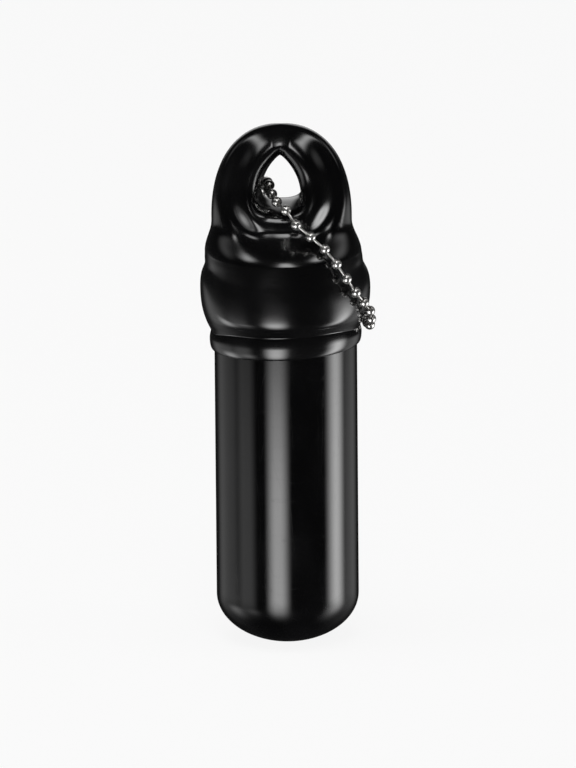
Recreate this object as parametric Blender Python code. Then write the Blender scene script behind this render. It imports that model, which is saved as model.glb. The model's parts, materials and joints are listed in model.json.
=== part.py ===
"""Floating key capsule: a hard round tube, a soft moulded cap with a carrying loop that pulls
off its mouth, and a steel ball chain through the loop, closed by an open sleeve connector.

Metres, +Z up. The origin is the middle of the small flat foot under the tube's dome, and the
loop's hole looks along Y, with the front of the capsule towards -Y.
"""

import math

import bmesh
import bpy
from mathutils import Matrix, Vector

# Tube: a straight cylinder on an elliptical dome with a small flat foot
TUBE_RADIUS = 0.0160
TUBE_WALL = 0.0016
TUBE_HEIGHT = 0.0855
TUBE_FLOOR = 0.0022
DOME_HEIGHT = 0.01042
FOOT_RADIUS = 0.0045
RIM_ROUNDING = 0.0005
FIT_CLEARANCE = 0.0003

# Cap: each rise is measured from the level below it, the collar's from the hem, and the walls
# outwards from the socket that grips the tube
SOCKET_DEPTH = 0.0178
HEM_ROUNDING = 0.0026
HEM_EDGE = 0.0002
HEM_SLANT = 0.0007
COLLAR_HEIGHT = 0.0028
GROOVE_RISE = 0.0010
BULGE_RISE = 0.0088
WAIST_RISE = 0.0074
SHOULDER_RISE = 0.0014
FLANK_RISE = 0.0070
ARCH_SPRING_RISE = 0.0011
HOLE_RISE = 0.0040
CROWN_THICKNESS = 0.0069
COLLAR_WALL = 0.00074
GROOVE_WALL = 0.00040
BULGE_WALL = 0.00274
WAIST_WALL = 0.00115
SHOULDER_WALL = 0.00125
ARCH_STEP = 0.00183
LOOP_OFFSET = 0.0007
LOOP_HALF_DEPTH = 0.0098
CHAMBER_HEIGHT = 0.0045
SEAT_WIDTH = 0.0028

# Cap: the hole through the loop, the ring that swells round it and the pinch at the crown.
# Distances are measured from the hole's rim, outwards across the front, the lip's length up from
# the hole's floor, and the pinch's start down from the hole's tip.
HOLE_LENGTH = 0.0101
HOLE_HALF_WIDTH = 0.00438
RING_DISTANCE = 0.0034
RING_SPREAD = 0.0026
WEB_DISTANCE = 0.0009
RING_SIDE_SWELL = 0.0012
RING_LIP_SWELL = 0.0020
LIP_LENGTH = 0.0090
VALLEY_DISTANCE = 0.0072
VALLEY_SPREAD = 0.0019
VALLEY_DEPTH = 0.0007
VALLEY_START_ACROSS = 0.0040
VALLEY_FULL_ACROSS = 0.0100
EDGE_DEPTH = 0.0035
PINCH_DEPTH = 0.0009
PINCH_WIDTH = 0.0011
PINCH_START = 0.0006
PINCH_LENGTH = 0.0025

# Shares that shape the cap's curves
HOLE_WIDEST_SHARE = 0.24
HOLE_BELLY_POWER_SHARE = 2.5
HOLE_TIP_POWER_SHARE = 1.85
HOLE_TIP_ROUNDING_SHARE = 0.82
ARCH_POWER_SHARE = 2.2
DEPTH_RISE_SHARE = 1.25
DEPTH_POWER_SHARE = 0.5
LIP_RIM_SHARE = 0.25
RIB_CROWDING_SHARE = 0.9
RIB_REACH_SHARE = 1.5
RIM_PROBE_SHARE = 0.004
ARCH_SPACING_SHARE = 1.3

# Ball chain: hollow beads, and links whose heads stay inside them
BEAD_COUNT = 29
FRONT_BEADS = 15
BEAD_RADIUS = 0.0012
BEAD_WALL = 0.00018
BEAD_HOLE_RADIUS = 0.00055
CHAIN_PITCH = 0.0042
CHAIN_CLEARANCE = 0.0003
LINK_RADIUS = 0.0003
HEAD_RADIUS = 0.00062
HEAD_THICKNESS = 0.00024
HEAD_DISTANCE = 0.00038
CONNECTOR_SPACING = 0.0040
CONNECTOR_CLEARANCE = 0.0003
CONNECTOR_WALL = 0.00025
CONNECTOR_END_RADIUS = 0.00095
CONNECTOR_SLOT = 0.0010
CONNECTOR_WINDOW = 0.0027

# The chain's way round the cap. In the loop's hole its stops are (across, depth, height over the
# hole's floor).
# Outside they are (degrees round the axis from the front, way down the skin, lift in bead radii),
# where the way runs from the hole's rim (0) over the shoulder (1) down to the hem (2).
HOLE_STOPS = ((-0.0021, 0.0037, 0.0017), (-0.0027, -0.0005, 0.0029))
FRONT_STOP_SHARES = (
    (-3, 0.11, 0.15), (14, 0.18, 0.18), (25, 0.32, 0.3), (36, 0.80, 0.1), (39, 0.985, 0),
    (50, 1.316, 0.05), (68, 1.563, 0.15), (86, 1.77, 0.3), (103, 1.82, 0.45), (119, 1.77, 0.6),
    (134, 1.68, 0.8)
)
BACK_STOP_SHARES = (
    (148, 1.57, 0.8), (162, 1.43, 0.5), (174, 1.22, 0.4), (184, 0.99, 0.4), (191, 0.84, 0.5),
    (206, 0.30, 0.6), (219, 0.16, 0.1), (233, 0.07, 0.15)
)
SLACK_SHARE_LIMIT = 12
ROUTE_PROBE_SHARE = 0.01

# Counts
TUBE_SIDES = 48
FOOT_RIBS = 11
ARCH_RIBS = 26
RIB_RINGS = 14
BULGE_RINGS = 7
ROUND_STEPS = 3
DOME_STEPS = 9
INNER_DOME_STEPS = 5
BEAD_SIDES = 8
BEAD_STEPS = 5
BEAD_INNER_STEPS = 4
LINK_SIDES = 6
CONNECTOR_SIDES = 10
OUTLINE_STEPS = 240
ROUTE_STEPS = 24
SLACK_STEPS = 30

# Worked out from the sizes above
MERGE_DISTANCE = TUBE_WALL / 1000
SOCKET_RADIUS = TUBE_RADIUS + FIT_CLEARANCE
COLLAR_RADIUS = SOCKET_RADIUS + COLLAR_WALL
GROOVE_RADIUS = SOCKET_RADIUS + GROOVE_WALL
BULGE_RADIUS = SOCKET_RADIUS + BULGE_WALL
WAIST_RADIUS = SOCKET_RADIUS + WAIST_WALL
SHOULDER_RADIUS = SOCKET_RADIUS + SHOULDER_WALL
ARCH_RADIUS = SHOULDER_RADIUS - ARCH_STEP
HEM_LEVEL = TUBE_HEIGHT + FIT_CLEARANCE - SOCKET_DEPTH
GROOVE_HEIGHT = COLLAR_HEIGHT + GROOVE_RISE
BULGE_HEIGHT = GROOVE_HEIGHT + BULGE_RISE
WAIST_HEIGHT = BULGE_HEIGHT + WAIST_RISE
SHOULDER_HEIGHT = WAIST_HEIGHT + SHOULDER_RISE
FLANK_HEIGHT = SHOULDER_HEIGHT + FLANK_RISE
ARCH_SPRING_HEIGHT = FLANK_HEIGHT + ARCH_SPRING_RISE
HOLE_HEIGHT = ARCH_SPRING_HEIGHT + HOLE_RISE
LIP_TOP_HEIGHT = HOLE_HEIGHT + LIP_LENGTH
PINCH_START_HEIGHT = HOLE_HEIGHT + HOLE_LENGTH - PINCH_START
PINCH_FULL_HEIGHT = PINCH_START_HEIGHT + PINCH_LENGTH
CROWN_HEIGHT = HOLE_HEIGHT + HOLE_LENGTH + CROWN_THICKNESS
SIDE_RIBS = FOOT_RIBS + ARCH_RIBS // 2
BEAD_STAND_OFF = BEAD_RADIUS + CHAIN_CLEARANCE
CONNECTOR_BORE = BEAD_RADIUS + CONNECTOR_CLEARANCE


def smooth_step(low, high, value):
    """0 below low, 1 above high, and a smooth rise between."""
    share = min(max((value - low) / (high - low), 0), 1)
    return share * share * (3 - 2 * share)


def bell(distance, spread):
    return math.exp(-((distance / spread) ** 2))


def clear_scene():
    for thing in list(bpy.data.objects):
        bpy.data.objects.remove(thing, do_unlink=True)


def make_material(name, colour, roughness, metallic):
    material = bpy.data.materials.new(name)
    material.use_nodes = True
    shader = material.node_tree.nodes["Principled BSDF"]
    shader.inputs["Base Color"].default_value = (*colour, 1)
    shader.inputs["Roughness"].default_value = roughness
    shader.inputs["Metallic"].default_value = metallic
    return material


def finish_mesh(bm, name, material, sharp_angle=40):
    """Close the seams of a bmesh, turn its faces outwards and shade it smooth."""
    bmesh.ops.remove_doubles(bm, verts=bm.verts, dist=MERGE_DISTANCE)
    bmesh.ops.recalc_face_normals(bm, faces=bm.faces)
    mesh = bpy.data.meshes.new(name)
    bm.to_mesh(mesh)
    bm.free()
    mesh.materials.append(material)
    mesh.shade_smooth()
    mesh.set_sharp_from_angle(angle=math.radians(sharp_angle))
    return mesh


def place(name, mesh, location=(0, 0, 0), rotation=None, parent=None):
    """Add an object at a world position, under a parent if it has one."""
    thing = bpy.data.objects.new(name, mesh)
    bpy.context.collection.objects.link(thing)
    turned = rotation.to_4x4() if rotation else Matrix.Identity(4)
    world = Matrix.Translation(location) @ turned
    thing.parent = parent
    thing.matrix_basis = world_of(parent).inverted() @ world
    return thing


def world_of(thing):
    """An object's world matrix, before Blender has updated the scene."""
    if thing is None:
        return Matrix.Identity(4)
    return world_of(thing.parent) @ thing.matrix_basis


def turned_mesh(name, profile, sides, material, closed=False):
    """Turn a profile of (radius, height) points round Z. An open one ends on the axis."""
    bm = bmesh.new()
    points = [bm.verts.new((radius, 0, height)) for radius, height in profile]
    pairs = list(zip(points, points[1:]))
    if closed:
        pairs.append((points[-1], points[0]))
    edges = [bm.edges.new(pair) for pair in pairs]
    bmesh.ops.spin(
        bm, geom=points + edges, cent=(0, 0, 0), axis=(0, 0, 1), angle=math.tau, steps=sides
    )
    return finish_mesh(bm, name, material)


# Capsule tube


def dome_points(radius, rise, foot, steps):
    """An elliptical dome from its foot out to the tube's wall, below the tangent level."""
    start = math.acos(foot / radius)
    angles = [start * (1 - step / steps) for step in range(steps + 1)]
    return [
        (radius * math.cos(angle), DOME_HEIGHT - rise * math.sin(angle)) for angle in angles
    ]


def tube_profile():
    rise = DOME_HEIGHT / math.sqrt(1 - (FOOT_RADIUS / TUBE_RADIUS) ** 2)
    bore = TUBE_RADIUS - TUBE_WALL
    outside = [(0, 0)] + dome_points(TUBE_RADIUS, rise, FOOT_RADIUS, DOME_STEPS)
    inside = dome_points(bore, rise - TUBE_FLOOR, 0, INNER_DOME_STEPS)
    rim = []
    for step in range(ROUND_STEPS + 1):
        angle = math.radians(90) * step / ROUND_STEPS
        out = RIM_ROUNDING * math.cos(angle)
        up = RIM_ROUNDING * math.sin(angle)
        rim.append((TUBE_RADIUS - RIM_ROUNDING + out, TUBE_HEIGHT - RIM_ROUNDING + up))
    for step in range(ROUND_STEPS + 1):
        angle = math.radians(90) * step / ROUND_STEPS
        out = RIM_ROUNDING * math.sin(angle)
        up = RIM_ROUNDING * math.cos(angle)
        rim.append((bore + RIM_ROUNDING - out, TUBE_HEIGHT - RIM_ROUNDING + up))
    return outside + rim + inside[::-1]


# Loop cap: its outside as a skin of ribs, from the hole's rim out to the arch and the shoulder


def skirt_radius(height):
    """The cap's outer radius at a height over the hem, up to the shoulder."""
    if height >= WAIST_HEIGHT:
        rise = (height - WAIST_HEIGHT) / (SHOULDER_HEIGHT - WAIST_HEIGHT)
        return WAIST_RADIUS + (SHOULDER_RADIUS - WAIST_RADIUS) * min(rise, 1)
    if height >= BULGE_HEIGHT:
        away = (height - BULGE_HEIGHT) / (WAIST_HEIGHT - BULGE_HEIGHT)
        return BULGE_RADIUS + (WAIST_RADIUS - BULGE_RADIUS) * away**2
    if height >= GROOVE_HEIGHT:
        away = (BULGE_HEIGHT - height) / (BULGE_HEIGHT - GROOVE_HEIGHT)
        return BULGE_RADIUS + (GROOVE_RADIUS - BULGE_RADIUS) * away**2
    if height >= COLLAR_HEIGHT:
        fall = smooth_step(COLLAR_HEIGHT, GROOVE_HEIGHT, height)
        return COLLAR_RADIUS + (GROOVE_RADIUS - COLLAR_RADIUS) * fall
    return COLLAR_RADIUS


def half_width(height):
    """Half the loop's width across X, from the shoulder up to the crown."""
    if height < ARCH_SPRING_HEIGHT:
        return SHOULDER_RADIUS - ARCH_STEP * smooth_step(SHOULDER_HEIGHT, FLANK_HEIGHT, height)
    rise = min((height - ARCH_SPRING_HEIGHT) / (CROWN_HEIGHT - ARCH_SPRING_HEIGHT), 1)
    return ARCH_RADIUS * (1 - rise**ARCH_POWER_SHARE) ** (1 / ARCH_POWER_SHARE)


def half_depth(height):
    """Half the loop's depth along Y in its middle, from the shoulder up to the crown."""
    rise = min(max((height - FLANK_HEIGHT) / (CROWN_HEIGHT - FLANK_HEIGHT), 0), 1)
    loop = LOOP_HALF_DEPTH * (1 - rise**DEPTH_RISE_SHARE) ** DEPTH_POWER_SHARE
    drop = smooth_step(SHOULDER_HEIGHT, FLANK_HEIGHT, height)
    return SHOULDER_RADIUS + (loop - SHOULDER_RADIUS) * drop


def body_depth(across, height):
    """Depth of the plain form, without the hole, the ring, the valleys and the pinch."""
    width = half_width(height)
    share = min(across / width, 1) if width > MERGE_DISTANCE else 1
    power = 2 + (ARCH_POWER_SHARE - 2) * smooth_step(SHOULDER_HEIGHT, FLANK_HEIGHT, height)
    return half_depth(height) * (1 - share**power) ** (1 / power)


def hole_half_width(share):
    """Half the teardrop hole's width, at a share of its length above its floor."""
    if share < HOLE_WIDEST_SHARE:
        fall = 1 - share / HOLE_WIDEST_SHARE
        power = HOLE_BELLY_POWER_SHARE
        return HOLE_HALF_WIDTH * (1 - fall**power) ** (1 / power)
    rise = (share - HOLE_WIDEST_SHARE) / (1 - HOLE_WIDEST_SHARE)
    tip = max(1 - rise**HOLE_TIP_POWER_SHARE, 0)
    return HOLE_HALF_WIDTH * tip**HOLE_TIP_ROUNDING_SHARE


def hole_outline():
    """The right half of the hole's rim, as (across, height) from its floor to its tip."""
    points = []
    for step in range(OUTLINE_STEPS + 1):
        share = (1 - math.cos(math.pi * step / OUTLINE_STEPS)) / 2
        points.append((hole_half_width(share), HOLE_HEIGHT + HOLE_LENGTH * share))
    return points


def arch_outline():
    """The right half of the loop's outline, from the shoulder to the crown."""
    points = []
    for step in range(OUTLINE_STEPS + 1):
        rise = math.sin(math.radians(90) * step / OUTLINE_STEPS)
        height = SHOULDER_HEIGHT + (CROWN_HEIGHT - SHOULDER_HEIGHT) * rise
        points.append((half_width(height), height))
    return points


def point_along(points, share):
    """The point at a share of a polyline's length."""
    steps = [math.dist(a, b) for a, b in zip(points, points[1:])]
    left = share * sum(steps)
    for start, end, step in zip(points, points[1:], steps):
        if left <= step:
            part = left / step if step else 0
            return tuple(a + (b - a) * part for a, b in zip(start, end))
        left -= step
    return points[-1]


HOLE_OUTLINE = hole_outline()
ARCH_OUTLINE = arch_outline()


def rim_point(share):
    """A point of the hole's rim, from its floor (0) up the right side to its tip (1)."""
    if share < 0 or share > 1:
        across, height = point_along(HOLE_OUTLINE, -share if share < 0 else 2 - share)
        return -across, height
    return point_along(HOLE_OUTLINE, share)


def rim_outward(share):
    """The direction straight out from the hole's rim, across the front."""
    before = rim_point(share - RIM_PROBE_SHARE)
    after = rim_point(share + RIM_PROBE_SHARE)
    length = math.dist(before, after)
    return (after[1] - before[1]) / length, (before[0] - after[0]) / length


def rib_ends(rib):
    """Where a rib of the right half starts, as a share of the hole's rim, and where it ends."""
    if rib <= FOOT_RIBS:
        turn = rib / FOOT_RIBS
        angle = math.radians(90) * turn
        return 2 * LIP_RIM_SHARE * turn, (SHOULDER_RADIUS * math.sin(angle), SHOULDER_HEIGHT)
    turn = (rib - FOOT_RIBS) / (SIDE_RIBS - FOOT_RIBS)
    start = 2 * LIP_RIM_SHARE + (1 - 2 * LIP_RIM_SHARE) * turn
    height = point_along(ARCH_OUTLINE, turn**ARCH_SPACING_SHARE)[1]
    return start, (half_width(height), height)


def rib_place(rib, way):
    """(across, height) along a rib, which leaves the rim square and bends to its end."""
    share, end = rib_ends(rib)
    start = rim_point(share)
    outward = rim_outward(share)
    reach = RING_DISTANCE * RIB_REACH_SHARE
    bend = [value + reach * step for value, step in zip(start, outward)]
    weights = ((1 - way) ** 2, 2 * way * (1 - way), way**2)
    return tuple(sum(w * p for w, p in zip(weights, trio)) for trio in zip(start, bend, end))


def rim_distance(across, height):
    """How far a point of the front lies from the hole's rim."""
    return min(math.dist(point, (across, height)) for point in HOLE_OUTLINE)


def skin_depth(across, height, gone):
    """The skin's depth, with its ring, valleys and pinch, at a distance gone from the rim."""
    body = body_depth(across, height)
    fade = smooth_step(0, EDGE_DEPTH, body)
    lip = 1 - smooth_step(ARCH_SPRING_HEIGHT, LIP_TOP_HEIGHT, height)
    swell = RING_SIDE_SWELL + (RING_LIP_SWELL - RING_SIDE_SWELL) * lip
    side = smooth_step(VALLEY_START_ACROSS, VALLEY_FULL_ACROSS, across)
    side *= smooth_step(SHOULDER_HEIGHT, ARCH_SPRING_HEIGHT, height)
    side *= 1 - smooth_step(LIP_TOP_HEIGHT, CROWN_HEIGHT, height)
    top = smooth_step(PINCH_START_HEIGHT, PINCH_FULL_HEIGHT, height)
    depth = body + fade * swell * bell(gone - RING_DISTANCE, RING_SPREAD)
    depth -= fade * side * VALLEY_DEPTH * bell(gone - VALLEY_DISTANCE, VALLEY_SPREAD)
    depth -= fade * top * PINCH_DEPTH * bell(across, PINCH_WIDTH)
    inward = RING_DISTANCE - min(gone, RING_DISTANCE)
    depth -= RING_DISTANCE - math.sqrt(RING_DISTANCE**2 - inward**2)
    web = 1 - min(gone / WEB_DISTANCE, 1)
    return depth * math.sqrt(1 - web**2)


def rib_point(rib, way):
    """(across, depth, height) on the right half of the skin, a share of the way along a rib."""
    across, height = rib_place(rib, way)
    gone = rim_distance(across, height) if way else 0
    return across, skin_depth(across, height, gone), height


def lean(height):
    """How far the loop sits to the left of the tube's axis, at a height over the hem."""
    return LOOP_OFFSET * smooth_step(BULGE_HEIGHT, FLANK_HEIGHT, height)


def cap_place(across, depth, height):
    """A point of the cap's skin in the part's frame, with the loop's lean and the hem's slant."""
    slant = HEM_SLANT * across / COLLAR_RADIUS * (1 - smooth_step(0, BULGE_HEIGHT, height))
    return Vector((across - lean(height), -depth, HEM_LEVEL + height + slant))


def rib_spacing(step):
    """How far along a rib its rings lie: closer together near the rim and near the outline."""
    share = step / RIB_RINGS
    return share - RIB_CROWDING_SHARE * math.sin(math.tau * share) / math.tau


def sheet_rings(front):
    """The rings of points round the hole, from its rim outwards, on the front or the back."""
    rings = []
    for step in range(RIB_RINGS + 1):
        right = []
        for rib in range(SIDE_RIBS + 1):
            right.append(rib_point(rib, rib_spacing(step)))
        left = [(-across, depth, height) for across, depth, height in right[-2:0:-1]]
        side = 1 if front else -1
        rings.append([cap_place(across, side * depth, height) for across, depth, height in right + left])
    return rings


def skirt_ring(radius, height):
    """A full ring round the tube's axis, in step with the ribs' feet."""
    ring = []
    for step in range(4 * FOOT_RIBS):
        angle = math.radians(90) * step / FOOT_RIBS
        ring.append(cap_place(radius * math.sin(angle), radius * math.cos(angle), height))
    return ring


def skirt_levels():
    """(radius, height) down the outside from the shoulder, round the hem and up the inside."""
    levels = [(SHOULDER_RADIUS, SHOULDER_HEIGHT)]
    for step in range(BULGE_RINGS + 1):
        angle = math.radians(90) * step / BULGE_RINGS
        height = WAIST_HEIGHT - (WAIST_HEIGHT - BULGE_HEIGHT) * math.sin(angle)
        levels.append((skirt_radius(height), height))
    for step in range(1, BULGE_RINGS + 1):
        angle = math.radians(90) * step / BULGE_RINGS
        height = BULGE_HEIGHT - (BULGE_HEIGHT - GROOVE_HEIGHT) * (1 - math.cos(angle))
        levels.append((skirt_radius(height), height))
    middle = (COLLAR_HEIGHT + GROOVE_HEIGHT) / 2
    levels += [(skirt_radius(middle), middle), (COLLAR_RADIUS, COLLAR_HEIGHT)]
    edge = SOCKET_RADIUS + HEM_EDGE
    for step in range(ROUND_STEPS + 1):
        angle = math.radians(90) * step / ROUND_STEPS
        out = (COLLAR_RADIUS - edge) * (1 - math.cos(angle))
        levels.append((COLLAR_RADIUS - out, HEM_ROUNDING * (1 - math.sin(angle))))
    chamber = SOCKET_RADIUS - SEAT_WIDTH
    levels += [(SOCKET_RADIUS, 0), (SOCKET_RADIUS, SOCKET_DEPTH), (chamber, SOCKET_DEPTH)]
    for step in range(1, ROUND_STEPS + 1):
        angle = math.radians(90) * step / ROUND_STEPS
        levels.append((chamber * math.cos(angle), SOCKET_DEPTH + CHAMBER_HEIGHT * math.sin(angle)))
    return levels


def bridge(bm, rings):
    """Skin a list of equal closed rings, one to the next."""
    loops = [[bm.verts.new(point) for point in ring] for ring in rings]
    for inner, outer in zip(loops, loops[1:]):
        count = len(inner)
        for step in range(count):
            after = (step + 1) % count
            bm.faces.new((inner[step], inner[after], outer[after], outer[step]))


def loop_cap_mesh(material):
    bm = bmesh.new()
    bridge(bm, sheet_rings(front=True))
    bridge(bm, sheet_rings(front=False))
    bridge(bm, [skirt_ring(radius, height) for radius, height in skirt_levels()])
    bmesh.ops.remove_doubles(bm, verts=bm.verts, dist=MERGE_DISTANCE)
    bmesh.ops.dissolve_degenerate(bm, edges=bm.edges, dist=MERGE_DISTANCE)
    return finish_mesh(bm, "loop_cap", material)


# Ball chain: its way round the cap, then the beads and links along it


def skin_place(angle, way):
    """A point of the cap's skin. The angle is in degrees round the axis, from the front over +X.
    The way runs from the hole's rim (0) over the shoulder (1) and down to the hem (2)."""
    turn = math.radians(angle)
    if way > 1:
        height = SHOULDER_HEIGHT * (2 - way)
        radius = skirt_radius(height)
        return cap_place(radius * math.sin(turn), radius * math.cos(turn), height)
    from_middle = abs((angle + 90) % 180 - 90)
    across, depth, height = rib_point(FOOT_RIBS * from_middle / 90, way)
    return cap_place(
        math.copysign(across, math.sin(turn)), math.copysign(depth, math.cos(turn)), height
    )


def bead_stop(angle, way, lift):
    """Where a bead's middle lies over the skin, and the skin's outward direction there."""
    step = ROUTE_PROBE_SHARE
    across = skin_place(angle + 90 * step, way) - skin_place(angle - 90 * step, way)
    along = skin_place(angle, way + step) - skin_place(angle, way - step)
    outward = along.cross(across).normalized()
    return skin_place(angle, way) + outward * (BEAD_STAND_OFF + lift * BEAD_RADIUS), outward


def hole_stop(across, depth, rise):
    middle = cap_place(0, 0, HOLE_HEIGHT + HOLE_LENGTH * HOLE_WIDEST_SHARE)
    point = cap_place(across, depth, HOLE_HEIGHT + rise)
    return point, (middle - point).normalized()


def pulled(way, slack):
    """A way down the skin, drawn up towards the shoulder where the chain has no slack."""
    return way if way < 1 else 1 + (way - 1) * min(slack, 1)


def chain_stops(slack):
    """The closed chain's stops: out of the hole over the front, and back in from behind.
    With a slack below 1 it is drawn up the cap, and above 1 its back hangs looser."""
    root, rear = [hole_stop(*stop) for stop in HOLE_STOPS]
    front = [bead_stop(angle, pulled(way, slack), lift) for angle, way, lift in FRONT_STOP_SHARES]
    back = []
    for angle, way, lift in BACK_STOP_SHARES:
        back.append(bead_stop(angle, pulled(way, slack), lift * max(slack, 1)))
    return [root] + front + back + [rear]


def between(before, start, end, after, share):
    """A point of the smooth curve from start to end, eased by the points on either side."""
    slope_in = (end - before) / 2
    slope_out = (after - start) / 2
    square = share * share
    cube = square * share
    eased = start * (2 * cube - 3 * square + 1) + end * (3 * square - 2 * cube)
    return eased + slope_in * (cube - 2 * square + share) + slope_out * (cube - square)


def chain_route(slack):
    """The closed way as a fine line of (point, outward direction), from the root bead on."""
    stops = chain_stops(slack)
    count = len(stops)
    line = []
    for index in range(count):
        near = [stops[(index + offset) % count] for offset in (-1, 0, 1, 2)]
        for step in range(ROUTE_STEPS):
            share = step / ROUTE_STEPS
            point = between(*[place for place, outward in near], share)
            line.append((point, between(*[outward for place, outward in near], share).normalized()))
    return line + [line[0]]


def pitch_steps(line, count):
    """A number of places along a line, each one pitch from the last, after its first point."""
    places = [line[0]]
    for point, outward in line:
        if len(places) > count:
            break
        last = places[-1][0]
        if (point - last).length >= CHAIN_PITCH:
            places.append((last + (point - last).normalized() * CHAIN_PITCH, outward))
    return places


def bead_places():
    """Each bead's place: the root bead, the front strand and then the back strand."""
    low = 0
    high = SLACK_SHARE_LIMIT
    for _ in range(SLACK_STEPS):
        slack = (low + high) / 2
        line = chain_route(slack)
        front = pitch_steps(line, FRONT_BEADS)
        back = pitch_steps(line[::-1], BEAD_COUNT - 1 - FRONT_BEADS)
        gap = back[-1][0] - front[-1][0]
        crossed = gap.dot(front[-1][0] - front[-2][0]) < 0
        if crossed or gap.length < CONNECTOR_SPACING:
            low = slack
        else:
            high = slack
    return front + back[1:]


def earlier_bead(index):
    """The bead that a bead hangs from, on the way back to the root bead."""
    return 0 if index == FRONT_BEADS + 1 else index - 1


def bead_mesh(material):
    """A hollow bead along Z, open at both ends."""
    inner = BEAD_RADIUS - BEAD_WALL
    profile = []
    for radius, steps, way in ((BEAD_RADIUS, BEAD_STEPS, 1), (inner, BEAD_INNER_STEPS, -1)):
        start = math.asin(BEAD_HOLE_RADIUS / radius)
        angles = [start + (math.pi - 2 * start) * step / steps for step in range(steps + 1)]
        points = [(radius * math.sin(angle), radius * math.cos(angle)) for angle in angles]
        profile += points[::way]
    return turned_mesh("bead", profile, BEAD_SIDES, material, closed=True)


def link_mesh(name, material, far_head=True):
    """A link along Z, from its head in one bead to its head in the next, one pitch on."""
    start = HEAD_DISTANCE - HEAD_THICKNESS / 2
    neck = HEAD_DISTANCE + HEAD_THICKNESS / 2
    profile = [(0, start), (HEAD_RADIUS, start), (HEAD_RADIUS, neck), (LINK_RADIUS, neck)]
    if far_head:
        profile += [(radius, CHAIN_PITCH - height) for radius, height in profile[::-1]]
    else:
        end = CHAIN_PITCH - BEAD_RADIUS - CHAIN_CLEARANCE
        profile += [(LINK_RADIUS, end), (0, end)]
    return turned_mesh(name, profile, LINK_SIDES, material)


# Connector: an open sleeve round the chain's two end beads


def connector_rings():
    """(height, radius share of the sleeve) along the connector, from end to end."""
    end = math.acos(CONNECTOR_END_RADIUS / CONNECTOR_BORE)
    half = CONNECTOR_SPACING / 2
    window = CONNECTOR_WINDOW / 2
    edge = math.sqrt(window**2 - (CONNECTOR_SLOT / 2) ** 2)
    rings = [(0, 0), (window * 0.6, 0), (window * 0.85, 0), (edge, 0), (half, 0)]
    rings += [(half, end * step / ROUND_STEPS) for step in range(1, ROUND_STEPS + 1)]
    return [(-height, -turn) for height, turn in rings[:0:-1]] + rings


def connector_mesh(material):
    """A sleeve along Z with a slot towards +X, which widens to a round window half way."""
    bm = bmesh.new()
    grid = []
    for middle, turn in connector_rings():
        window = math.sqrt(max((CONNECTOR_WINDOW / 2) ** 2 - middle**2, 0)) if turn == 0 else 0
        opening = max(CONNECTOR_SLOT / 2, window)
        row = []
        for radius in (CONNECTOR_BORE, CONNECTOR_BORE + CONNECTOR_WALL):
            around = radius * math.cos(turn)
            height = middle + radius * math.sin(turn)
            start = math.asin(opening / (CONNECTOR_BORE * math.cos(turn)))
            for step in range(CONNECTOR_SIDES + 1):
                angle = start + (math.tau - 2 * start) * step / CONNECTOR_SIDES
                row.append(bm.verts.new((around * math.cos(angle), around * math.sin(angle), height)))
        count = CONNECTOR_SIDES + 1
        grid.append(row[:count] + row[:count - 1:-1])
    for lower, upper in zip(grid, grid[1:]):
        for step in range(len(lower)):
            after = (step + 1) % len(lower)
            bm.faces.new((lower[step], lower[after], upper[after], upper[step]))
    for row in (grid[0], grid[-1]):
        for step in range(CONNECTOR_SIDES):
            bm.faces.new((row[step], row[step + 1], row[-2 - step], row[-1 - step]))
    return finish_mesh(bm, "chain_connector", material)


# Assembly


def turn_to(direction):
    """The rotation that lays Z along a direction."""
    return direction.to_track_quat("Z", "Y").to_matrix()


def connector_turn(start, end, outward):
    """The rotation that lays Z from one end bead to the other, with the slot outwards."""
    along = (end - start).normalized()
    slot = (outward - along * outward.dot(along)).normalized()
    return Matrix((slot, along.cross(slot), along)).transposed()


def build_chain(steel, bright):
    """Place the beads and links, each on the pivot that swivels in the bead before it."""
    places = bead_places()
    ends = (FRONT_BEADS, BEAD_COUNT - 1)
    bead = bead_mesh(steel)
    link = link_mesh("link", bright)
    pivots = {}
    reach = {index: [] for index in range(BEAD_COUNT)}
    for index in range(1, BEAD_COUNT):
        before = earlier_bead(index)
        direction = (places[index][0] - places[before][0]).normalized()
        reach[before].append(direction)
        reach[index].append(direction)
    for index, (point, outward) in enumerate(places):
        joined = ends[0] if index == ends[1] else index
        if joined not in pivots:
            pivot = point - reach[index][0] * HEAD_DISTANCE if index else point
            parent = pivots.get(earlier_bead(index)) if index else bpy.data.objects["loop_cap"]
            pivots[joined] = place(f"pivot_{index + 1:02d}", None, pivot, None, parent)
        axis = sum(reach[index], Vector()) if index else reach[0][0] - reach[0][1]
        place(f"bead_{index + 1:02d}", bead, point, turn_to(axis), pivots[joined])
    for index in range(1, BEAD_COUNT):
        before = earlier_bead(index)
        start = places[before][0]
        direction = reach[index][0]
        if index == ends[1]:
            stub = link_mesh("link_stub", bright, far_head=False)
            place(f"link_{index:02d}", stub, places[index][0], turn_to(-direction), pivots[ends[0]])
        else:
            place(f"link_{index:02d}", link, start, turn_to(direction), pivots[before])
    first, last = places[ends[0]], places[ends[1]]
    turn = connector_turn(first[0], last[0], first[1])
    middle = (first[0] + last[0]) / 2
    place("chain_connector", connector_mesh(steel), middle, turn, pivots[ends[0]])


def build():
    clear_scene()
    plastic = make_material("tube_plastic", (0.012, 0.012, 0.013), 0.06, 0)
    vinyl = make_material("cap_vinyl", (0.010, 0.010, 0.011), 0.14, 0)
    nickel = make_material("bead_nickel", (0.62, 0.61, 0.58), 0.22, 1)
    wire = make_material("link_steel", (0.50, 0.49, 0.47), 0.30, 1)
    tube = turned_mesh("capsule_tube", tube_profile(), TUBE_SIDES, plastic)
    place("capsule_tube", tube)
    place("loop_cap", loop_cap_mesh(vinyl), parent=bpy.data.objects["capsule_tube"])
    build_chain(nickel, wire)


build()
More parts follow.
